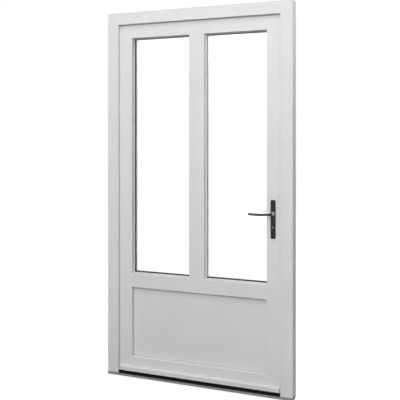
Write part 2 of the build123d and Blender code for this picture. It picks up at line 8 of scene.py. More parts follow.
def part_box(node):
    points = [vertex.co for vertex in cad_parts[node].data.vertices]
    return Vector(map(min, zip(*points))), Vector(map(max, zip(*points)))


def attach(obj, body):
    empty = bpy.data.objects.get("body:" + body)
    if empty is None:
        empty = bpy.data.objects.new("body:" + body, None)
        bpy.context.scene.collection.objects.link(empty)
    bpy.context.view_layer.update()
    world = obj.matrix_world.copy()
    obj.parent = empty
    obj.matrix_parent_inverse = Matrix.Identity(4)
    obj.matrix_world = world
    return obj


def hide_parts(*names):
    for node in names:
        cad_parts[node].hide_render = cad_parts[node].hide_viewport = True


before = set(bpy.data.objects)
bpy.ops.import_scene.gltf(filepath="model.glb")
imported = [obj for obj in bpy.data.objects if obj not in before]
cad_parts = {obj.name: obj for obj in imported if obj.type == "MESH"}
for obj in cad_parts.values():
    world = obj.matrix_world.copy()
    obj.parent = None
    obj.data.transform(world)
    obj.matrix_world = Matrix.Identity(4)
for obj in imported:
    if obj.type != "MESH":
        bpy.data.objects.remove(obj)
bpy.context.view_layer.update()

# Threshold: a nosing and an inner rail of grey anodised aluminium, extruded as long bars, with a ribbed core
# of black plastic clipped between them and a black lip over the nosing's upper edge, from jamb to jamb.
# Countersunk steel screws through the inner rail hold it to the sill.


def add_node(tree, kind, values=None, **settings):
    """A shader node whose inputs take a plain value or another node's output."""
    node = tree.nodes.new(kind)
    for name, setting in settings.items():
        setattr(node, name, setting)
    for name, value in (values or {}).items():
        if isinstance(value, bpy.types.NodeSocket):
            tree.links.new(value, node.inputs[name])
        else:
            node.inputs[name].default_value = value
    return node


def maths(tree, operation, *values):
    """The result of one operation on values, taken in order."""
    return add_node(tree, "ShaderNodeMath", dict(enumerate(values)), operation=operation).outputs[0]


def sum_of(tree, first, second, weight):
    """One value plus a share of another."""
    return maths(tree, "MULTIPLY_ADD", second, weight, first)


def spread(tree, value, low, high, to_low=0.0, to_high=1.0):
    """A value's range from low to high, stretched over a new range."""
    ends = {"From Min": low, "From Max": high, "To Min": to_low, "To Max": to_high}
    return add_node(tree, "ShaderNodeMapRange", {"Value": value, **ends}).outputs["Result"]


def mixed_colours(tree, factor, first, second):
    """The blend of two colours, by a value from 0 to 1."""
    factor_in, first_in, second_in, colour_out = 0, 6, 7, 2
    values = {factor_in: factor, first_in: first, second_in: second}
    return add_node(tree, "ShaderNodeMix", values, data_type="RGBA").outputs[colour_out]


def own_place(tree):
    """A point's place on its own piece, in metres."""
    return add_node(tree, "ShaderNodeTexCoord").outputs["Object"]


def stretched(tree, place, run):
    """A place scaled along each axis, so that noise on it draws out into lines."""
    return add_node(tree, "ShaderNodeVectorMath", {0: place, 1: run}, operation="MULTIPLY").outputs["Vector"]


def noise(tree, place, scale, detail):
    """Noise of so many grains to the metre."""
    values = {"Vector": place, "Scale": scale, "Detail": detail}
    return add_node(tree, "ShaderNodeTexNoise", values).outputs["Fac"]


def new_finish(name, colours, values, vectors=()):
    """A node group for a finish: it puts out a colour, a roughness and a height."""
    group = bpy.data.node_groups.new(name, "ShaderNodeTree")
    kinds = [(colours, "NodeSocketColor"), (values, "NodeSocketFloat"), (vectors, "NodeSocketVector")]
    for names, kind in kinds:
        for socket in names:
            group.interface.new_socket(socket, in_out="INPUT", socket_type=kind)
    results = {"Colour": "NodeSocketColor", "Roughness": "NodeSocketFloat", "Height": "NodeSocketFloat"}
    for socket, kind in results.items():
        group.interface.new_socket(socket, in_out="OUTPUT", socket_type=kind)
    return group, add_node(group, "NodeGroupInput").outputs


def close_finish(group, colour, roughness, height):
    """Wires a finish to the group's outputs."""
    add_node(group, "NodeGroupOutput", {"Colour": colour, "Roughness": roughness, "Height": height})


def make_material(name, finish, values, depth, metallic=0.0, specular=0.5):
    """A material that wears a finish, with relief of the given depth in metres."""
    material = bpy.data.materials.new(name)
    material.use_nodes = True
    tree = material.node_tree
    shader = tree.nodes["Principled BSDF"]
    shader.inputs["Metallic"].default_value = metallic
    shader.inputs["Specular IOR Level"].default_value = specular
    worn = add_node(tree, "ShaderNodeGroup", node_tree=finish)
    for socket, value in values.items():
        worn.inputs[socket].default_value = value
    relief = add_node(tree, "ShaderNodeBump", {"Height": worn.outputs["Height"], "Distance": depth})
    tree.links.new(worn.outputs["Colour"], shader.inputs["Base Color"])
    tree.links.new(worn.outputs["Roughness"], shader.inputs["Roughness"])
    tree.links.new(relief.outputs["Normal"], shader.inputs["Normal"])
    return material


def grey(level):
    """A neutral colour."""
    return (level, level, level, 1.0)


def dress(material, *names):
    """Gives CAD nodes a finish, in their own material slots."""
    for name in names:
        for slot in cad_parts[name].material_slots:
            slot.material = material


def show(mesh, name, material, body):
    """Makes a finished mesh a piece of the door, riding on a body."""
    same_place = 1e-7
    sharp_angle = math.radians(35)
    bmesh.ops.remove_doubles(mesh, verts=mesh.verts, dist=same_place)
    bmesh.ops.recalc_face_normals(mesh, faces=mesh.faces)
    data = bpy.data.meshes.new(name)
    mesh.to_mesh(data)
    mesh.free()
    data.shade_smooth()
    data.set_sharp_from_angle(angle=sharp_angle)
    data.materials.append(material)
    piece = bpy.data.objects.new(name, data)
    bpy.context.scene.collection.objects.link(piece)
    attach(piece, body)
    return piece


def bridge(mesh, rings):
    """Joins rings of points, one after the other, with faces."""
    for near, far in zip(rings, rings[1:]):
        for here in range(len(near)):
            there = (here + 1) % len(near)
            mesh.faces.new((near[here], near[there], far[there], far[here]))


def close_bar(mesh, rings):
    """Joins rings of points with faces, and closes both ends."""
    bridge(mesh, rings)
    mesh.faces.new(rings[0])
    mesh.faces.new(rings[-1])


def facing(place, outward):
    """The frame of a fitting at a place: its own Z points outward."""
    return Matrix.Translation(place) @ Vector(outward).to_track_quat("Z", "Y").to_matrix().to_4x4()


def add_screw(mesh, place, outward, radius):
    """A countersunk head with a six-lobed drive, its rim level with the face it is let into."""
    points, lobes, lobe_depth = 36, 6, 0.14
    shank_radius, edge_radius, flat_radius = radius * 0.8, radius * 0.96, radius * 0.75
    sunk, crown, drive_depth = radius * 0.15, radius * 0.08, radius * 0.55
    edge_height = crown * 0.6
    drive_radius = radius * 0.46
    drive_mouth, drive_floor = drive_radius * 1.06, drive_radius * 0.94

    def ring(ring_radius, height, lobed=0.0):
        turns = [2 * math.pi * step / points for step in range(points)]
        reach = [ring_radius * (1 + lobed * math.cos(lobes * turn)) for turn in turns]
        return [(r * math.cos(turn), r * math.sin(turn), height) for r, turn in zip(reach, turns)]

    outline = [
        ring(shank_radius, -sunk * 2),
        ring(radius, 0.0),
        ring(edge_radius, edge_height),
        ring(flat_radius, crown),
        ring(drive_mouth, crown, lobe_depth),
        ring(drive_radius, crown - sunk, lobe_depth),
        ring(drive_floor, crown - drive_depth, lobe_depth),
    ]
    seat = facing(place, outward)
    rings = [[mesh.verts.new(seat @ Vector(point)) for point in points_of] for points_of in outline]
    close_bar(mesh, rings)


drawn_metal, drawn_in = new_finish(
    "drawn_metal", ["Colour", "Streak Colour"], ["Bright Roughness", "Dull Roughness"], ["Run"]
)
drawn_place = own_place(drawn_metal)
drawn_run = stretched(drawn_metal, drawn_place, drawn_in["Run"])
drawn_streaks = noise(drawn_metal, drawn_run, scale=1.0, detail=4.0)
drawn_haze = noise(drawn_metal, drawn_place, scale=25.0, detail=3.0)
drawn_wear = sum_of(drawn_metal, drawn_streaks, drawn_haze, weight=0.5)
drawn_colour = mixed_colours(
    drawn_metal,
    spread(drawn_metal, drawn_wear, low=0.55, high=0.95),
    drawn_in["Colour"],
    drawn_in["Streak Colour"],
)
drawn_roughness = spread(
    drawn_metal,
    drawn_streaks,
    low=0.3,
    high=0.7,
    to_low=drawn_in["Bright Roughness"],
    to_high=drawn_in["Dull Roughness"],
)
close_finish(drawn_metal, drawn_colour, drawn_roughness, drawn_streaks)

matt_skin, matt_in = new_finish(
    "matt_skin", ["Colour", "Dust Colour"], ["Grain", "Dust", "Low Roughness", "High Roughness"]
)
matt_place = own_place(matt_skin)
matt_grain = noise(matt_skin, matt_place, matt_in["Grain"], detail=3.0)
matt_cloud = noise(matt_skin, matt_place, scale=60.0, detail=4.0)
matt_dust = spread(matt_skin, matt_cloud, low=0.45, high=0.8, to_high=matt_in["Dust"])
matt_colour = mixed_colours(matt_skin, matt_dust, matt_in["Colour"], matt_in["Dust Colour"])
matt_roughness = spread(
    matt_skin,
    matt_grain,
    low=0.3,
    high=0.7,
    to_low=matt_in["Low Roughness"],
    to_high=matt_in["High Roughness"],
)
close_finish(matt_skin, matt_colour, matt_roughness, matt_grain)

LENGTHWAYS = (4.0, 1500.0, 1500.0)
UPWAYS = (1500.0, 1500.0, 4.0)
anodised_aluminium = make_material(
    "anodised_aluminium",
    drawn_metal,
    {
        "Colour": grey(0.24),
        "Streak Colour": grey(0.17),
        "Bright Roughness": 0.34,
        "Dull Roughness": 0.48,
        "Run": LENGTHWAYS,
    },
    depth=0.00004,
    metallic=1.0,
)
core_plastic = make_material(
    "core_plastic",
    matt_skin,
    {
        "Colour": grey(0.010),
        "Dust Colour": grey(0.045),
        "Grain": 1800.0,
        "Dust": 0.35,
        "Low Roughness": 0.55,
        "High Roughness": 0.75,
    },
    depth=0.00008,
    specular=0.2,
)
zinc_steel = make_material(
    "zinc_steel",
    drawn_metal,
    {
        "Colour": grey(0.52),
        "Streak Colour": (0.40, 0.405, 0.42, 1.0),
        "Bright Roughness": 0.26,
        "Dull Roughness": 0.42,
        "Run": UPWAYS,
    },
    depth=0.00003,
    metallic=1.0,
)
dress(anodised_aluminium, "threshold_nosing", "threshold_inner_rail")
dress(core_plastic, "threshold_core")

NOSING_LIP_DROP = 0.0030
NOSING_LIP_WALL = 0.0006
NOSING_LIP_BEVEL = 0.0003
nosing_low, nosing_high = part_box("threshold_nosing")
nosing_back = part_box("threshold_core")[0].y
nosing_lip_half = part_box("frame_lock_jamb")[0].x - NOSING_LIP_WALL
nosing_lip_front = nosing_low.y - NOSING_LIP_WALL
nosing_lip_top = nosing_high.z + NOSING_LIP_WALL
nosing_lip_section = [
    (nosing_back, nosing_high.z),
    (nosing_back, nosing_lip_top),
    (nosing_lip_front + NOSING_LIP_BEVEL, nosing_lip_top),
    (nosing_lip_front, nosing_lip_top - NOSING_LIP_BEVEL),
    (nosing_lip_front, nosing_high.z - NOSING_LIP_DROP),
    (nosing_low.y, nosing_high.z - NOSING_LIP_DROP),
    (nosing_low.y, nosing_high.z),
]
nosing_lip = bmesh.new()
nosing_lip_ends = []
for end_x in (-nosing_lip_half, nosing_lip_half):
    nosing_lip_ends.append([nosing_lip.verts.new((end_x, y, z)) for y, z in nosing_lip_section])
close_bar(nosing_lip, nosing_lip_ends)
show(nosing_lip, "threshold_nosing_lip", core_plastic, "frame")

UPWARD = (0, 0, 1)
RAIL_SCREW_RADIUS = 0.004
RAIL_SCREWS = 5
RAIL_SCREW_REACH = 0.42
RAIL_RAMP = 0.010
rail_low, rail_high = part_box("threshold_inner_rail")
rail_screw_y = (rail_low.y + rail_high.y - RAIL_RAMP) / 2
rail_screws = bmesh.new()
for number in range(RAIL_SCREWS):
    rail_screw_x = RAIL_SCREW_REACH * (2 * number / (RAIL_SCREWS - 1) - 1)
    add_screw(rail_screws, (rail_screw_x, rail_screw_y, rail_high.z), UPWARD, RAIL_SCREW_RADIUS)
show(rail_screws, "threshold_rail_screws", zinc_steel, "frame")

# Outer frame: white plastic profile with a satin skin, drawn through a die, so faint lines run along each
# bar. The jambs and the head are mitred and welded, and the weld is planed to a shallow pale line at each
# corner.

extruded_plastic, plastic_in = new_finish(
    "extruded_plastic", ["Colour", "Shade Colour"], ["Peel", "Satin Roughness", "Dull Roughness"], ["Run"]
)
plastic_place = own_place(extruded_plastic)
plastic_run = stretched(extruded_plastic, plastic_place, plastic_in["Run"])
die_lines = noise(extruded_plastic, plastic_run, scale=1.0, detail=2.0)
orange_peel = noise(extruded_plastic, plastic_place, plastic_in["Peel"], detail=1.0)
plastic_cloud = noise(extruded_plastic, plastic_place, scale=5.0, detail=4.0)
plastic_shade = sum_of(extruded_plastic, plastic_cloud, die_lines, weight=0.25)
plastic_colour = mixed_colours(
    extruded_plastic,
    spread(extruded_plastic, plastic_shade, low=0.45, high=0.85),
    plastic_in["Colour"],
    plastic_in["Shade Colour"],
)
plastic_roughness = spread(
    extruded_plastic,
    sum_of(extruded_plastic, die_lines, plastic_cloud, weight=0.4),
    low=0.5,
    high=0.9,
    to_low=plastic_in["Satin Roughness"],
    to_high=plastic_in["Dull Roughness"],
)
plastic_relief = sum_of(extruded_plastic, die_lines, orange_peel, weight=0.6)
close_finish(extruded_plastic, plastic_colour, plastic_roughness, plastic_relief)

WHITE_PLASTIC = (0.800, 0.802, 0.800, 1.0)
WHITE_SHADE = (0.765, 0.766, 0.762, 1.0)


def white_plastic(name, run):
    """White profile plastic, with its die lines along the given run."""
    values = {
        "Colour": WHITE_PLASTIC,
        "Shade Colour": WHITE_SHADE,
        "Peel": 450.0,
        "Satin Roughness": 0.36,
        "Dull Roughness": 0.46,
        "Run": run,
    }
    return make_material(name, extruded_plastic, values, depth=0.00003, specular=0.10)


DIE_LINES_PER_METRE = 350.0
DIE_LINE_DRIFT = 1.5
white_upright = white_plastic("white_upright", (DIE_LINES_PER_METRE, DIE_LINES_PER_METRE, DIE_LINE_DRIFT))
white_level = white_plastic("white_level", (DIE_LINE_DRIFT, DIE_LINES_PER_METRE, DIE_LINES_PER_METRE))
dress(white_upright, "frame_hinge_jamb", "frame_lock_jamb")
dress(white_level, "frame_head")

weld_white = make_material(
    "weld_white",
    extruded_plastic,
    {
        "Colour": grey(0.785),
        "Shade Colour": grey(0.750),
        "Peel": 900.0,
        "Satin Roughness": 0.42,
        "Dull Roughness": 0.52,
        "Run": (300.0, 300.0, 300.0),
    },
    depth=0.00004,
    specular=0.10,
)
WELD_WIDTH = 0.0014
WELD_RISE = 0.00008


def add_weld(mesh, start, end, outward):
    """A planed weld line on a flat face: a low ridge between two feathered edges."""
    start, end, outward = Vector(start), Vector(end), Vector(outward)
    across = (end - start).normalized().cross(outward)
    profile = [(-0.5, 0.0), (-0.3, 0.7), (-0.12, 1.0), (0.0, 0.35), (0.12, 1.0), (0.3, 0.7), (0.5, 0.0)]
    steps = [across * side * WELD_WIDTH + outward * rise * WELD_RISE for side, rise in profile]
    close_bar(mesh, [[mesh.verts.new(place + step) for step in steps] for place in (start, end)])


OUTWARD = (0, -1, 0)
INWARD = (0, 1, 0)
EDGE_ROUND = 0.0025
jamb_low, jamb_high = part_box("frame_lock_jamb")
head_low, head_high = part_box("frame_head")
rebate_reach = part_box("lock_keep_plate")[1].x
frame_rebate_top = head_high.z - (jamb_high.x - rebate_reach)
frame_welds = bmesh.new()
for side in (-1, 1):
    outer_corner = (side * (jamb_high.x - WELD_WIDTH), jamb_low.y, head_high.z - WELD_WIDTH)
    sight_corner = (side * (jamb_low.x + EDGE_ROUND), jamb_low.y, head_low.z + EDGE_ROUND)
    add_weld(frame_welds, sight_corner, outer_corner, OUTWARD)
    back_corner = (side * (jamb_high.x - WELD_WIDTH), jamb_high.y, head_high.z - WELD_WIDTH)
    rebate_corner = (side * (rebate_reach + EDGE_ROUND), jamb_high.y, frame_rebate_top + EDGE_ROUND)
    add_weld(frame_welds, rebate_corner, back_corner, INWARD)
show(frame_welds, "frame_corner_welds", weld_white, "frame")

# Seals: pale grey rubber extruded as a bulb, pushed into a groove of the profile and mitred at the corners.
# One strip runs round the frame's stop, one round the leaf's flange, and a black fin hangs under the leaf.

grey_rubber = make_material(
    "grey_rubber",
    matt_skin,
    {
        "Colour": grey(0.60),
        "Dust Colour": grey(0.50),
        "Grain": 2500.0,
        "Dust": 0.4,
        "Low Roughness": 0.55,
        "High Roughness": 0.75,
    },
    depth=0.00005,
    specular=0.25,
)
black_rubber = make_material(
    "black_rubber",
    matt_skin,
    {
        "Colour": grey(0.048),
        "Dust Colour": grey(0.10),
        "Grain": 2500.0,
        "Dust": 0.3,
        "Low Roughness": 0.50,
        "High Roughness": 0.72,
    },
    depth=0.00005,
    specular=0.25,
)


def node_rect(name):
    """A node's left, right, bottom and top."""
    low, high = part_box(name)
    return (low.x, high.x, low.z, high.z)


def ring_corners(rect):
    """The corners of a rectangle of left, right, bottom and top, each with its way inwards."""
    left, right, bottom, top = rect
    return [(left, bottom, 1, 1), (right, bottom, -1, 1), (right, top, -1, -1), (left, top, 1, -1)]


def rings_at(mesh, corners, profile):
    """A profile of inset and depth, set up at each corner along its way inwards."""
    rings = []
    for x, z, way_x, way_z in corners:
        rings.append([mesh.verts.new((x + way_x * inset, y, z + way_z * inset)) for inset, y in profile])
    return rings


def swept_ring(rect, profile):
    """A profile carried round a rectangle and mitred at its corners."""
    mesh = bmesh.new()
    rings = rings_at(mesh, ring_corners(rect), profile)
    bridge(mesh, rings + rings[:1])
    return mesh


def swept_arch(rect, profile):
    """A profile carried up one side of a rectangle, over its top and down the other side."""
    mesh = bmesh.new()
    left, right, bottom, top = rect
    corners = [(left, bottom, 1, 0), (left, top, 1, -1), (right, top, -1, -1), (right, bottom, -1, 0)]
    close_bar(mesh, rings_at(mesh, corners, profile))
    return mesh


def bulb_seal(width, root, tip):
    """A seal's section: a foot along its root, and a bulb that rises to its tip."""
    bulb_steps, bulb_reach, bulb_fullness, foot_share = 10, 0.38, 0.7, 0.3
    foot = root + foot_share * (tip - root)
    outline = [(0.0, root), (0.0, foot)]
    for step in range(bulb_steps + 1):
        turn = math.pi * step / bulb_steps
        inset = width * (0.5 - bulb_reach * math.cos(turn))
        outline.append((inset, foot + (tip - foot) * math.sin(turn) ** bulb_fullness))
    return outline + [(width, foot), (width, root)]


SEAL_WIDTH = 0.006
SEAL_AIR = 0.0005
leaf_low, leaf_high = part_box("leaf_lock_stile")
leaf_outside = leaf_low.y
leaf_inside = leaf_high.y
frame_seal_section = bulb_seal(SEAL_WIDTH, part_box("frame_seal")[0].y, leaf_outside - SEAL_AIR)
frame_seal_mesh = swept_arch(node_rect("frame_seal"), frame_seal_section)
frame_seal = show(frame_seal_mesh, "frame_stop_seal", grey_rubber, "frame")
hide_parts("frame_seal")
leaf_seal_section = bulb_seal(SEAL_WIDTH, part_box("leaf_seal")[1].y, jamb_high.y + SEAL_AIR)
leaf_seal_mesh = swept_ring(node_rect("leaf_seal"), leaf_seal_section)
leaf_seal = show(leaf_seal_mesh, "leaf_flange_seal", grey_rubber, "leaf")
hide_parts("leaf_seal")
dress(black_rubber, "bottom_sweep_seal")

# Leaf: the same white plastic, in a flanged profile welded at four corners, with a mid rail and a mullion.
# The two bars between the openings are coped over the profiles they meet and welded in straight lines.

dress(white_upright, "leaf_hinge_stile", "leaf_lock_stile", "leaf_mullion")
dress(white_level, "leaf_top_rail", "leaf_bottom_rail", "leaf_mid_rail")

FLANGE = 0.020
LEAF_FACE = 0.0865
GLAZING_REBATE = 0.020
LIP_REACH = 0.004
mid_low, mid_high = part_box("leaf_mid_rail")
mullion_low, mullion_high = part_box("leaf_mullion")
mullion_half = mullion_high.x - LIP_REACH
mid_rail_bottom = mid_low.z + LIP_REACH
mid_rail_top = mid_high.z - LIP_REACH
body_half = leaf_high.x - FLANGE
body_bottom = leaf_low.z + FLANGE
body_top = leaf_high.z - FLANGE
opening_half = body_half - LEAF_FACE
opening_bottom = body_bottom + LEAF_FACE
opening_top = body_top - LEAF_FACE
outer_weld = (EDGE_ROUND, LEAF_FACE - EDGE_ROUND)
inner_weld = (EDGE_ROUND - FLANGE, LEAF_FACE - GLAZING_REBATE)
leaf_welds = bmesh.new()
for x, z, way_x, way_z in ring_corners((-body_half, body_half, body_bottom, body_top)):
    for reaches, depth, outward in ((outer_weld, leaf_outside, OUTWARD), (inner_weld, leaf_inside, INWARD)):
        weld_ends = [(x + way_x * reach, depth, z + way_z * reach) for reach in reaches]
        add_weld(leaf_welds, *weld_ends, outward)
for side in (-1, 1):
    butt_x = side * opening_half
    butt_low = (butt_x, leaf_outside, mid_rail_bottom + EDGE_ROUND)
    butt_high = (butt_x, leaf_outside, mid_rail_top - EDGE_ROUND)
    add_weld(leaf_welds, butt_low, butt_high, OUTWARD)
for butt_z in (mid_rail_top, opening_top):
    butt_left = (EDGE_ROUND - mullion_half, leaf_outside, butt_z)
    butt_right = (mullion_half - EDGE_ROUND, leaf_outside, butt_z)
    add_weld(leaf_welds, butt_left, butt_right, OUTWARD)
show(leaf_welds, "leaf_welds", weld_white, "leaf")

# Double-glazed units: a clear sheet outside and a satin etched sheet inside, glued to a spacer, so that
# light comes through but no shape does. Rubber gaskets hold each unit, with a taller lip under the panes to
# shed rain, and sloped white beads clip in behind it.


def sheet_glass(name, low_roughness, high_roughness):
    """Float glass with a faint green tint, its surface smooth or etched."""
    clean_tint, filmed_tint = (0.998, 1.0, 0.999, 1.0), (0.990, 0.997, 0.994, 1.0)
    material = bpy.data.materials.new(name)
    material.use_nodes = True
    tree = material.node_tree
    shader = tree.nodes["Principled BSDF"]
    shader.inputs["Transmission Weight"].default_value = 1.0
    shader.inputs["IOR"].default_value = 1.5
    film = spread(tree, noise(tree, own_place(tree), scale=7.0, detail=5.0), low=0.4, high=0.75)
    roughness = spread(tree, film, 0.0, 1.0, low_roughness, high_roughness)
    tree.links.new(mixed_colours(tree, film, clean_tint, filmed_tint), shader.inputs["Base Color"])
    tree.links.new(roughness, shader.inputs["Roughness"])
    return material


clear_glass = sheet_glass("clear_glass", low_roughness=0.0, high_roughness=0.012)
satin_glass = sheet_glass("satin_glass", low_roughness=0.82, high_roughness=0.88)

SPACER_CRIMP_PITCH = 0.024
SPACER_CRIMP_DEPTH = 0.0001
SPACER_DARK = grey(0.46)
SPACER_BRIGHT = grey(0.56)
# At scale 1 a diagonal wave texture has this many waves to the metre along an axis
WAVES_AT_SCALE_ONE = 5 / math.pi
spacer_grey = bpy.data.materials.new("spacer_grey")
spacer_grey.use_nodes = True
spacer_tree = spacer_grey.node_tree
spacer_inputs = spacer_tree.nodes["Principled BSDF"].inputs
spacer_crimps = add_node(
    spacer_tree,
    "ShaderNodeTexWave",
    {
        "Vector": own_place(spacer_tree),
        "Scale": 1 / (WAVES_AT_SCALE_ONE * SPACER_CRIMP_PITCH),
        "Distortion": 0.4,
    },
    bands_direction="DIAGONAL",
).outputs["Fac"]
spacer_tone = mixed_colours(spacer_tree, spacer_crimps, SPACER_DARK, SPACER_BRIGHT)
spacer_roughness = spread(spacer_tree, spacer_crimps, low=0.0, high=1.0, to_low=0.55, to_high=0.40)
spacer_relief = add_node(
    spacer_tree, "ShaderNodeBump", {"Height": spacer_crimps, "Distance": SPACER_CRIMP_DEPTH}
).outputs["Normal"]
spacer_tree.links.new(spacer_tone, spacer_inputs["Base Color"])
spacer_tree.links.new(spacer_roughness, spacer_inputs["Roughness"])
spacer_tree.links.new(spacer_relief, spacer_inputs["Normal"])

for pane in ("left_pane", "right_pane"):
    dress(clear_glass, pane + "_outer_glass")
    dress(satin_glass, pane + "_inner_glass")
    dress(spacer_grey, pane + "_spacer")
dress(white_upright, "left_pane_beads", "right_pane_beads")
dress(white_level, "panel_beads")


def gasket_section(sight, back, front):
    """A glazing gasket: a flat seat under the profile's lip, and a rounded lip that shows."""
    lip_steps, round_share = 6, 0.55
    thickness = back - front
    lip_round = round_share * thickness
    outline = [(0.0, back), (0.0, front), (sight - lip_round, front)]
    for step in range(lip_steps + 1):
        turn = math.pi / 2 * step / lip_steps
        outline.append((sight - lip_round * (1 - math.sin(turn)), back - thickness * math.cos(turn)))
    return outline


GASKET_SEAT = 0.012
PANE_GASKET_SIGHT = LIP_REACH + 0.003
PANEL_GASKET_SIGHT = LIP_REACH + 0.002
INNER_GASKET_SIGHT = 0.0012
DRIP_RISE = 0.0050
for pane, sight, rise in (
    ("left_pane", PANE_GASKET_SIGHT, DRIP_RISE),
    ("right_pane", PANE_GASKET_SIGHT, DRIP_RISE),
    ("panel", PANEL_GASKET_SIGHT, 0.0),
):
    outer_node = pane + "_outer_gasket"
    low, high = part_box(outer_node)
    outer_mesh = swept_ring(
        (low.x, high.x, low.z + rise, high.z), gasket_section(GASKET_SEAT + sight, high.y, low.y)
    )
    outer_gasket = show(outer_mesh, outer_node + "_lip", black_rubber, "leaf")
    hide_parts(outer_node)
    inner_node = pane + "_inner_gasket"
    low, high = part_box(inner_node)
    inner_mesh = swept_ring(
        node_rect(inner_node), gasket_section(GASKET_SEAT + INNER_GASKET_SIGHT, low.y, high.y)
    )
    inner_gasket = show(inner_mesh, inner_node + "_lip", grey_rubber, "leaf")
    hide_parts(inner_node)

# Mullion covers: white plastic strips extruded to a stepped section, one on each side of the mullion. Each
# is cut to length between the rails and pushed onto the ledge of the glazing lip, over the gasket.

COVER_SIGHT = 0.0040
COVER_WALL = 0.0007
COVER_ROUND = 0.3 * COVER_WALL
COVER_AIR = 0.0003
COVER_SETBACK = 0.018
LEDGE_DEPTH = 0.025
LEDGE_WIDTH = 0.002
gasket_low, gasket_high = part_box("right_pane_outer_gasket")
lip_draft = LIP_REACH - LEDGE_WIDTH
cover_front = mullion_low.y + COVER_SETBACK
cover_back = gasket_high.y - COVER_AIR
ledge_y = mullion_low.y + LEDGE_DEPTH
lip_back = gasket_low.y - COVER_AIR
lip_edge = mullion_high.x + COVER_AIR
cover_tip = lip_edge + COVER_SIGHT
ledge_root = lip_edge - LEDGE_WIDTH
cover_root = ledge_root - lip_draft * (LEDGE_DEPTH - COVER_SETBACK) / LEDGE_DEPTH
cover_section = [
    (cover_root, cover_front),
    (cover_tip - COVER_WALL, cover_front),
    (cover_tip - COVER_ROUND, cover_front + COVER_ROUND),
    (cover_tip, cover_front + COVER_WALL),
    (cover_tip, ledge_y - COVER_AIR),
    (cover_tip, ledge_y),
    (cover_tip, cover_back),
    (cover_tip - COVER_WALL, cover_back),
    (cover_tip - COVER_WALL, lip_back),
    (lip_edge, lip_back),
    (lip_edge, ledge_y),
    (lip_edge, ledge_y - COVER_AIR),
    (ledge_root, ledge_y - COVER_AIR),
]
mullion_covers = bmesh.new()
for side in (-1, 1):
    rings = []
    for end_z, inward, rise in ((mid_rail_top, 1, DRIP_RISE), (opening_top, -1, 0.0)):
        ring = []
        for x, y in cover_section:
            cut = PANE_GASKET_SIGHT + rise if y >= ledge_y else lip_draft
            ring.append(mullion_covers.verts.new((side * x, y, end_z + inward * (cut + COVER_AIR))))
        rings.append(ring)
    close_bar(mullion_covers, rings)
show(mullion_covers, "mullion_cover_lips", white_upright, "leaf")

# Bottom panel: a foam core between two smooth white sheets, pressed flat, a touch duller than the profiles.
# Its tongue stands in the same rebate as the glass and its face on the lip's ledge, with a hairline gap all
# round. A thin black fin in that gap is painted shade, standing in for the shade inside the slit.

panel_white = make_material(
    "panel_white",
    extruded_plastic,
    {
        "Colour": (0.790, 0.792, 0.790, 1.0),
        "Shade Colour": (0.755, 0.757, 0.754, 1.0),
        "Peel": 260.0,
        "Satin Roughness": 0.38,
        "Dull Roughness": 0.50,
        "Run": (40.0, 40.0, 40.0),
    },
    depth=0.00005,
    specular=0.10,
)
dress(panel_white, "bottom_panel")
# Painted shade: a thin black fin in the hairline gap round the panel, in place of the shade inside the slit.
PANEL_SHADE_FIN_INSET = 0.0021
PANEL_SHADE_FIN_WIDTH = 0.0008
PANEL_SHADE_FIN_DEPTH = 0.0012
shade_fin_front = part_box("bottom_panel")[0].y + PANEL_SHADE_FIN_DEPTH
shade_fin_back = ledge_y - COVER_AIR
panel_shade_fin_section = [
    (PANEL_SHADE_FIN_INSET, shade_fin_back),
    (PANEL_SHADE_FIN_INSET, shade_fin_front),
    (PANEL_SHADE_FIN_INSET + PANEL_SHADE_FIN_WIDTH, shade_fin_front),
    (PANEL_SHADE_FIN_INSET + PANEL_SHADE_FIN_WIDTH, shade_fin_back),
]
panel_rect = (-opening_half, opening_half, opening_bottom, mid_rail_bottom)
panel_shade_fin = swept_ring(panel_rect, panel_shade_fin_section)
show(panel_shade_fin, "panel_edge_shade_fin", black_rubber, "leaf")

# Weather bar: a hollow white plastic nose screwed to the foot of the leaf, that throws rain off past the
# threshold. A moulded cap closes each end.

dress(white_level, "weather_bar")
BAR_FRONT_HEIGHT = 0.022
CAP_THICKNESS = 0.0015
CAP_INSET = 0.0006
CAP_TOP_INSET = 2 * CAP_INSET
CAP_NOSE_BACK = 4 * CAP_INSET
CAP_NOSE_DROP = 3 * CAP_INSET
CAP_STEPS = ((1.0, 0.0), (1.0, 0.6), (0.94, 1.0))
bar_low, bar_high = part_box("weather_bar")
bar_nose = bar_low.z + BAR_FRONT_HEIGHT
cap_outline = [
    (bar_high.y - CAP_INSET, bar_low.z + CAP_INSET),
    (bar_high.y - CAP_INSET, bar_high.z - CAP_TOP_INSET),
    (bar_low.y + CAP_NOSE_BACK, bar_nose),
    (bar_low.y + CAP_INSET, bar_nose - CAP_NOSE_DROP),
    (bar_low.y + CAP_INSET, bar_low.z + CAP_INSET),
]
cap_middle = Vector((sum(y for y, z in cap_outline), sum(z for y, z in cap_outline))) / len(cap_outline)
bar_caps = bmesh.new()
for side in (-1, 1):
    rings = []
    for share, reach in CAP_STEPS:
        cap_x = side * bar_high.x + side * reach * CAP_THICKNESS
        points = [cap_middle + (Vector(point) - cap_middle) * share for point in cap_outline]
        rings.append([bar_caps.verts.new((cap_x, y, z)) for y, z in points])
    close_bar(bar_caps, rings)
show(bar_caps, "weather_bar_caps", panel_white, "leaf")

# Hinges: pressed steel plates and knuckles under white powder coat, on a zinc plated pin with a domed cap.
# Two screws hold each frame part to the jamb, and three hold each leaf part to the hinge stile.

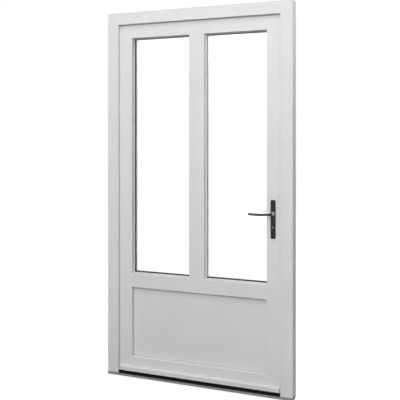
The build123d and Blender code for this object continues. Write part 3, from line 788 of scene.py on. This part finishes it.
powder_coat = make_material(
    "powder_coat",
    extruded_plastic,
    {
        "Colour": (0.780, 0.780, 0.775, 1.0),
        "Shade Colour": (0.735, 0.735, 0.728, 1.0),
        "Peel": 1400.0,
        "Satin Roughness": 0.34,
        "Dull Roughness": 0.46,
        "Run": (900.0, 900.0, 900.0),
    },
    depth=0.00006,
    specular=0.5,
)
HINGE_SCREW_RADIUS = 0.0042
HINGE_SCREW_PITCH = 0.036
HINGE_PAD_THICKNESS = 0.008
HINGE_PAD_SCREW_INSET = 0.008
HINGE_PLATE_THICKNESS = 0.005
HINGE_PLATE_SCREW_INSET = 0.012
pad_face = jamb_high.y + HINGE_PAD_THICKNESS
hinge_plate_face = leaf_inside + HINGE_PLATE_THICKNESS
for level in ("top", "middle", "bottom"):
    frame_part = level + "_hinge_frame_part"
    leaf_part = level + "_hinge_leaf_part"
    dress(powder_coat, frame_part, leaf_part)
    pad_low, pad_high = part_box(frame_part)
    centre_z = (pad_low.z + pad_high.z) / 2
    pad_screw_x = pad_low.x + HINGE_PAD_SCREW_INSET
    pad_screws = bmesh.new()
    for offset in (-HINGE_SCREW_PITCH, HINGE_SCREW_PITCH):
        place = (pad_screw_x, pad_face, centre_z + offset)
        add_screw(pad_screws, place, INWARD, HINGE_SCREW_RADIUS)
    show(pad_screws, frame_part + "_screws", zinc_steel, "frame")
    leaf_screw_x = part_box(leaf_part)[1].x - HINGE_PLATE_SCREW_INSET
    leaf_screws = bmesh.new()
    for offset in (-HINGE_SCREW_PITCH, 0.0, HINGE_SCREW_PITCH):
        place = (leaf_screw_x, hinge_plate_face, centre_z + offset)
        add_screw(leaf_screws, place, INWARD, HINGE_SCREW_RADIUS)
    show(leaf_screws, leaf_part + "_screws", zinc_steel, "leaf")
dress(zinc_steel, "hinge_pins")

# Handles: cast zinc levers and plates in a dark satin coat, one set on each face, joined by a square steel
# spindle. A steel sleeve is pressed on each lever's neck, two screws from inside clamp the plates together,
# and a nickel plated key plug shows at each end of the lock cylinder.

dark_satin = make_material(
    "dark_satin",
    drawn_metal,
    {
        "Colour": grey(0.022),
        "Streak Colour": grey(0.034),
        "Bright Roughness": 0.30,
        "Dull Roughness": 0.44,
        "Run": (700.0, 700.0, 700.0),
    },
    depth=0.00003,
    metallic=1.0,
)
lever_satin = make_material(
    "lever_satin",
    drawn_metal,
    {
        "Colour": grey(0.026),
        "Streak Colour": grey(0.042),
        "Bright Roughness": 0.26,
        "Dull Roughness": 0.38,
        "Run": (60.0, 900.0, 900.0),
    },
    depth=0.00003,
    metallic=1.0,
)
sleeve_steel = make_material(
    "sleeve_steel",
    drawn_metal,
    {
        "Colour": grey(0.46),
        "Streak Colour": grey(0.38),
        "Bright Roughness": 0.30,
        "Dull Roughness": 0.42,
        "Run": (500.0, 1200.0, 500.0),
    },
    depth=0.00002,
    metallic=1.0,
)
nickel_plate = make_material(
    "nickel_plate",
    drawn_metal,
    {
        "Colour": (0.17, 0.167, 0.161, 1.0),
        "Streak Colour": (0.12, 0.118, 0.113, 1.0),
        "Bright Roughness": 0.28,
        "Dull Roughness": 0.40,
        "Run": (1500.0, 1500.0, 1500.0),
    },
    depth=0.00002,
    metallic=1.0,
)
dress(dark_satin, "outer_handle_plate", "inner_handle_plate", "lock_cylinder")
dress(zinc_steel, "spindle")

NECK_RADIUS = 0.008
NECK_SETBACK = 0.001
GRIP = 0.0119
GRIP_SETBACK = 0.006
GRIP_SQUARENESS = 3.2
ROUND_SQUARENESS = 2
TIP_ROUND = 0.35 * GRIP
TIP_SHRINK = 0.35
LEVER_BEND = 0.010
LEVER_DIP = 0.003
LEVER_RISE = -0.0005
lever_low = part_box("outer_lever")[0]
spindle_low, spindle_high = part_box("spindle")
handle_x = (spindle_low.x + spindle_high.x) / 2
handle_z = (spindle_low.z + spindle_high.z) / 2
middle_y = (leaf_outside + leaf_inside) / 2


def bar_ring(centre, along, half, squareness):
    """The points of a rounded section round a bar that runs along a direction."""
    points = 28
    across = along.cross(Vector(UPWARD)).normalized()
    up = across.cross(along).normalized()
    ring = []
    for step in range(points):
        turn = 2 * math.pi * step / points
        cosine, sine = math.cos(turn), math.sin(turn)
        reach_across = math.copysign(abs(cosine) ** (2 / squareness), cosine) * half
        reach_up = math.copysign(abs(sine) ** (2 / squareness), sine) * half
        ring.append(centre + across * reach_across + up * reach_up)
    return ring


def lever_stations():
    """The outer lever's centre line: places with a direction, a share of the grip's section and a size."""
    bend_steps, grip_steps, tip_steps = 8, 24, 5
    neck_depth = leaf_outside - NECK_SETBACK
    grip_depth = lever_low.y + GRIP_SETBACK
    bend_start = grip_depth + LEVER_BEND
    length = handle_x - lever_low.x
    straight = length - LEVER_BEND - TIP_ROUND
    fall = -4 * LEVER_DIP - LEVER_RISE
    curl = LEVER_RISE - fall

    def grip_station(reach, size):
        share = (reach - LEVER_BEND) / (length - LEVER_BEND)
        z = handle_z + curl * share**2 + fall * share
        slope = (2 * curl * share + fall) / (length - LEVER_BEND)
        along = Vector((-1, 0, slope)).normalized()
        return (Vector((handle_x - reach, grip_depth, z)), along, 1.0, size)

    stations = []
    for depth in (neck_depth, (neck_depth + bend_start) / 2, bend_start):
        stations.append((Vector((handle_x, depth, handle_z)), Vector(OUTWARD), 0.0, 1.0))
    for step in range(1, bend_steps):
        turn = math.pi / 2 * step / bend_steps
        x = handle_x - LEVER_BEND * (1 - math.cos(turn))
        depth = bend_start - LEVER_BEND * math.sin(turn)
        along = Vector((-math.sin(turn), -math.cos(turn), 0))
        stations.append((Vector((x, depth, handle_z)), along, step / bend_steps, 1.0))
    for step in range(grip_steps + 1):
        stations.append(grip_station(LEVER_BEND + straight * step / grip_steps, 1.0))
    for step in range(1, tip_steps + 1):
        turn = math.pi / 2 * step / tip_steps
        reach = length - TIP_ROUND * (1 - math.sin(turn))
        stations.append(grip_station(reach, 1 - TIP_SHRINK * (1 - math.cos(turn))))
    return stations


def lever_mesh(face):
    """A lever as a bent bar: a round neck out of the plate, a bend, and a grip that dips and rises again."""
    mesh = bmesh.new()
    rings = []
    for centre, along, grip_share, size in lever_stations():
        half = size * (NECK_RADIUS + (GRIP / 2 - NECK_RADIUS) * grip_share)
        squareness = ROUND_SQUARENESS + (GRIP_SQUARENESS - ROUND_SQUARENESS) * grip_share
        points = bar_ring(centre, along, half, squareness)
        if face == "inner":
            points = [Vector((p.x, 2 * middle_y - p.y, p.z)) for p in points]
        rings.append([mesh.verts.new(point) for point in points])
    close_bar(mesh, rings)
    return mesh


def spun_ring(outline, place, outward):
    """A ring turned from an outline of radius and height."""
    points = 40
    mesh = bmesh.new()
    seat = facing(place, outward)
    rings = []
    for radius, height in outline:
        turns = [2 * math.pi * step / points for step in range(points)]
        spots = [Vector((radius * math.cos(turn), radius * math.sin(turn), height)) for turn in turns]
        rings.append([mesh.verts.new(seat @ spot) for spot in spots])
    bridge(mesh, rings + rings[:1])
    return mesh


SLEEVE_LENGTH = 0.034
SLEEVE_RADIUS = 0.0090
SLEEVE_BEVEL = 0.0008
PRESS_FIT = 0.0002
SLEEVE_BORE = NECK_RADIUS - PRESS_FIT
SLEEVE_RIM = 0.0110
RIM_BEVEL = 0.0006
RIM_EDGE = 0.0018
RIM_SHOULDER = 0.0025
RIM_HEIGHT = 0.0030
PLATE_GAP = 0.0004
plate_low, plate_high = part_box("outer_handle_plate")
outer_plate_face = plate_low.y
inner_plate_face = 2 * middle_y - plate_low.y
sleeve_outline = [
    (SLEEVE_BORE, 0.0),
    (SLEEVE_RIM, 0.0),
    (SLEEVE_RIM, RIM_EDGE),
    (SLEEVE_RIM - RIM_BEVEL, RIM_SHOULDER),
    (SLEEVE_RADIUS, RIM_HEIGHT),
    (SLEEVE_RADIUS, SLEEVE_LENGTH - SLEEVE_BEVEL),
    (SLEEVE_RADIUS - SLEEVE_BEVEL, SLEEVE_LENGTH),
    (SLEEVE_BORE, SLEEVE_LENGTH),
]
for face, outward, plate_face in (("outer", OUTWARD, outer_plate_face), ("inner", INWARD, inner_plate_face)):
    lever = show(lever_mesh(face), face + "_lever_bar", lever_satin, "handle")
    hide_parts(face + "_lever")
    sleeve_seat = Vector((handle_x, plate_face, handle_z)) + Vector(outward) * PLATE_GAP
    sleeve = spun_ring(sleeve_outline, sleeve_seat, outward)
    show(sleeve, face + "_lever_sleeve", sleeve_steel, "handle")

PLUG_RADIUS = 0.0066
PLUG_RISE = 0.0004
PLUG_BEVEL = 0.0003
PLUG_ROOT = -0.0002
KEYWAY_WIDTH = 0.0016
KEYWAY_HEIGHT = 0.0080
CYLINDER_RADIUS = 0.0085
cylinder_low, cylinder_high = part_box("lock_cylinder")
barrel_z = cylinder_high.z - CYLINDER_RADIUS


def plug_mesh(place, outward):
    """The end of the key plug: a low disc with a bevelled edge, cut through by the keyway."""
    points, corner = 40, 0.25
    turns = [2 * math.pi * step / points for step in range(points)]
    rounds = [(math.cos(turn), math.sin(turn)) for turn in turns]
    slots = [(math.copysign(abs(c) ** corner, c), math.copysign(abs(s) ** corner, s)) for c, s in rounds]
    outline = [
        (rounds, PLUG_RADIUS, PLUG_RADIUS, PLUG_ROOT),
        (rounds, PLUG_RADIUS, PLUG_RADIUS, PLUG_RISE - PLUG_BEVEL),
        (rounds, PLUG_RADIUS - PLUG_BEVEL, PLUG_RADIUS - PLUG_BEVEL, PLUG_RISE),
        (slots, KEYWAY_WIDTH / 2, KEYWAY_HEIGHT / 2, PLUG_RISE),
        (slots, KEYWAY_WIDTH / 2, KEYWAY_HEIGHT / 2, PLUG_ROOT),
    ]
    mesh = bmesh.new()
    seat = facing(place, outward)
    rings = []
    for shape, reach_x, reach_y, height in outline:
        spots = [Vector((reach_x * across, reach_y * up, height)) for across, up in shape]
        rings.append([mesh.verts.new(seat @ spot) for spot in spots])
    bridge(mesh, rings + rings[:1])
    return mesh


for face, outward, depth in (("outer", OUTWARD, cylinder_low.y), ("inner", INWARD, cylinder_high.y)):
    plug_seat = (handle_x, depth, barrel_z)
    show(plug_mesh(plug_seat, outward), face + "_key_plug", nickel_plate, "leaf")

PLATE_SCREW_RADIUS = 0.0038
PLATE_SCREW_INSET = 0.014
plate_screws = bmesh.new()
for screw_z in (plate_low.z + PLATE_SCREW_INSET, plate_high.z - PLATE_SCREW_INSET):
    add_screw(plate_screws, (handle_x, inner_plate_face, screw_z), INWARD, PLATE_SCREW_RADIUS)
show(plate_screws, "inner_plate_screws", dark_satin, "leaf")

# Lock edge: a long zinc plated faceplate screwed along the lock stile, with the latch and three bolts drawn
# back almost flush. The keep on the jamb faces it, with a slot for the latch and one for the middle bolt,
# each drawn as a thin black patch on its face: painted shade for the hole.

dress(zinc_steel, "lock_faceplate", "lock_keep_plate")
LOCKWARD = (1, 0, 0)
HINGEWARD = (-1, 0, 0)
EDGE_SCREW_RADIUS = 0.0035
EDGE_SCREWS = 7
EDGE_SCREW_INSET = 0.03
faceplate_low, faceplate_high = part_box("lock_faceplate")
faceplate_x = faceplate_high.x
faceplate_y = (faceplate_low.y + faceplate_high.y) / 2
faceplate_length = faceplate_high.z - faceplate_low.z
faceplate_screws = bmesh.new()
for number in range(EDGE_SCREWS):
    share = number / (EDGE_SCREWS - 1)
    screw_z = faceplate_low.z + EDGE_SCREW_INSET + share * (faceplate_length - 2 * EDGE_SCREW_INSET)
    add_screw(faceplate_screws, (faceplate_x, faceplate_y, screw_z), LOCKWARD, EDGE_SCREW_RADIUS)
show(faceplate_screws, "lock_faceplate_screws", zinc_steel, "leaf")


def add_tongue(mesh, place, way, width, height, rise, bevel):
    """The end of a latch or bolt, standing a little out of its plate with bevelled edges."""
    x, y, z = place
    rings = []
    for inset, reach in ((0.0, 0.0), (0.0, rise - bevel), (bevel, rise)):
        half_y, half_z = width / 2 - inset, height / 2 - inset
        corners = [(-half_y, -half_z), (half_y, -half_z), (half_y, half_z), (-half_y, half_z)]
        rings.append([mesh.verts.new((x + way * reach, y + dy, z + dz)) for dy, dz in corners])
    close_bar(mesh, rings)


TONGUE_RISE = 0.0008
TONGUE_BEVEL = 0.0005
LATCH_WIDTH = 0.011
LATCH_HEIGHT = 0.034
BOLT_DROP = 0.024
BOLT_HEIGHT = 0.030
END_BOLT_WIDTH = 0.009
END_BOLT_HEIGHT = 0.048
END_BOLT_SHARES = (0.12, 0.88)
latch_z = handle_z
bolt_z = barrel_z - BOLT_DROP
tongues = [(latch_z, LATCH_WIDTH, LATCH_HEIGHT), (bolt_z, LATCH_WIDTH, BOLT_HEIGHT)]
for share in END_BOLT_SHARES:
    tongues.append((faceplate_low.z + share * faceplate_length, END_BOLT_WIDTH, END_BOLT_HEIGHT))
lock_tongues = bmesh.new()
for tongue_z, width, height in tongues:
    place = (faceplate_x, faceplate_y, tongue_z)
    add_tongue(lock_tongues, place, 1, width, height, TONGUE_RISE, TONGUE_BEVEL)
show(lock_tongues, "latch_and_bolts", sleeve_steel, "leaf")

# Painted shade: each keep slot is a thin black patch laid on the keep's face, in place of the shade inside a
# hole.
SLOT_WIDTH = 0.0125
SLOT_ROOM = 0.006
SLOT_RISE = 0.0002
SLOT_BEVEL = 0.0001
KEEP_SCREW_INSET = 0.014
keep_low, keep_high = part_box("lock_keep_plate")
keep_slot_shades = bmesh.new()
for slot_z, height in ((latch_z, LATCH_HEIGHT + SLOT_ROOM), (bolt_z, BOLT_HEIGHT + SLOT_ROOM)):
    add_tongue(keep_slot_shades, (keep_low.x, faceplate_y, slot_z), -1, SLOT_WIDTH, height, SLOT_RISE, SLOT_BEVEL)
show(keep_slot_shades, "keep_slot_shades", core_plastic, "frame")
keep_screws = bmesh.new()
for screw_z in (keep_low.z + KEEP_SCREW_INSET, keep_high.z - KEEP_SCREW_INSET):
    add_screw(keep_screws, (keep_low.x, faceplate_y, screw_z), HINGEWARD, EDGE_SCREW_RADIUS)
show(keep_screws, "keep_screws", zinc_steel, "frame")

# Stage: a wide pale floor that shows white and keeps a faint shadow, soft studio lamps, and a camera that
# stands to the right of the door at head height, level, so upright lines stay upright.


def seen_directly(tree):
    """1 for rays from the camera, off metal or through glass, 0 for the light that falls on the door."""
    half_a_bounce = 0.5
    path = add_node(tree, "ShaderNodeLightPath").outputs
    seen_or_mirrored = maths(tree, "MAXIMUM", path["Is Camera Ray"], path["Is Glossy Ray"])
    clear = maths(tree, "MAXIMUM", seen_or_mirrored, path["Is Transmission Ray"])
    unscattered = maths(tree, "LESS_THAN", path["Diffuse Depth"], half_a_bounce)
    return maths(tree, "MULTIPLY", clear, unscattered)


FLOOR_REACH = 40.0
FLOOR_TONE = grey(0.17)
GLOW_NEAR = 0.89
GLOW_FAR = 1.0
NEAR_REACH = 1.5
FAR_REACH = 6.0
floor_mesh = bmesh.new()
bmesh.ops.create_grid(floor_mesh, x_segments=1, y_segments=1, size=FLOOR_REACH)
floor_data = bpy.data.meshes.new("floor")
floor_mesh.to_mesh(floor_data)
floor_mesh.free()
floor = bpy.data.objects.new("floor", floor_data)
bpy.context.scene.collection.objects.link(floor)
pale_floor = bpy.data.materials.new("pale_floor")
pale_floor.use_nodes = True
floor_tree = pale_floor.node_tree
floor_tree.nodes.clear()
floor_distance = add_node(
    floor_tree, "ShaderNodeVectorMath", {0: own_place(floor_tree)}, operation="LENGTH"
).outputs["Value"]
floor_glow = spread(floor_tree, floor_distance, NEAR_REACH, FAR_REACH, GLOW_NEAR, GLOW_FAR)
floor_shown = maths(floor_tree, "MULTIPLY", seen_directly(floor_tree), floor_glow)
floor_shine = add_node(floor_tree, "ShaderNodeEmission", {"Strength": floor_shown}).outputs["Emission"]
floor_matt = add_node(floor_tree, "ShaderNodeBsdfDiffuse", {"Color": FLOOR_TONE}).outputs["BSDF"]
floor_both = add_node(floor_tree, "ShaderNodeAddShader", {0: floor_shine, 1: floor_matt}).outputs["Shader"]
add_node(floor_tree, "ShaderNodeOutputMaterial", {"Surface": floor_both})
floor_data.materials.append(pale_floor)

SKY_HIGH = grey(0.02)
SKY_LOW = grey(0.015)
SKY_SHOWN = grey(1.0)
world = bpy.data.worlds.new("studio")
bpy.context.scene.world = world
world.use_nodes = True
world_tree = world.node_tree
world_tree.nodes.clear()
sky_way = add_node(world_tree, "ShaderNodeTexCoord").outputs["Generated"]
sky_height = add_node(world_tree, "ShaderNodeSeparateXYZ", {"Vector": sky_way}).outputs["Z"]
sky_light = mixed_colours(world_tree, spread(world_tree, sky_height, low=-0.2, high=0.9), SKY_LOW, SKY_HIGH)
sky_shown = mixed_colours(world_tree, seen_directly(world_tree), sky_light, SKY_SHOWN)
sky = add_node(world_tree, "ShaderNodeBackground", {"Color": sky_shown, "Strength": 1.0})
add_node(world_tree, "ShaderNodeOutputWorld", {"Surface": sky.outputs["Background"]})


def add_lamp(name, place, target, width, height, power):
    """A soft box that faces a target."""
    lamp = bpy.data.lights.new(name, "AREA")
    lamp.shape = "RECTANGLE"
    lamp.size = width
    lamp.size_y = height
    lamp.energy = power
    stand = bpy.data.objects.new(name, lamp)
    stand.location = place
    stand.rotation_euler = (Vector(target) - Vector(place)).to_track_quat("-Z", "Y").to_euler()
    bpy.context.scene.collection.objects.link(stand)


add_lamp("front_lamp", place=(0.8, -5.5, 3.0), target=(0, 0, 1.1), width=3.6, height=2.4, power=154.0)
add_lamp("left_lamp", place=(-2.6, -4.2, 3.4), target=(0, 0, 1.2), width=3.2, height=2.4, power=46.0)
add_lamp("top_lamp", place=(0.8, -2.8, 5.2), target=(0, 0, 1.2), width=2.4, height=1.6, power=84.0)
add_lamp("right_lamp", place=(3.0, -2.6, 2.8), target=(0.3, 0, 1.4), width=1.6, height=1.6, power=16.0)
add_lamp("edge_lamp", place=(1.7, 0.15, 2.75), target=(0.55, 0, 1.9), width=0.8, height=0.8, power=10.6)
add_lamp("back_lamp", place=(0.0, 2.4, 5.2), target=(0, 0, 0.9), width=1.0, height=3.0, power=340.0)

CAMERA_PLACE = (1.355, -3.366, 1.374)
CAMERA_TURN = math.radians(21.71)
CAMERA_LENS = 58.5
CAMERA_SHIFT = -0.154
SENSOR_HEIGHT = 36.0
SENSOR_WIDTH = 28.0
camera_data = bpy.data.cameras.new("camera")
camera_data.lens = CAMERA_LENS
camera_data.sensor_fit = "VERTICAL"
camera_data.sensor_height = SENSOR_HEIGHT
camera_data.sensor_width = SENSOR_WIDTH
camera_data.shift_y = CAMERA_SHIFT
camera = bpy.data.objects.new("camera", camera_data)
camera.location = CAMERA_PLACE
camera.rotation_euler = (math.pi / 2, 0, CAMERA_TURN)
bpy.context.scene.collection.objects.link(camera)
bpy.context.scene.camera = camera
bpy.context.scene.view_settings.view_transform = "Standard"
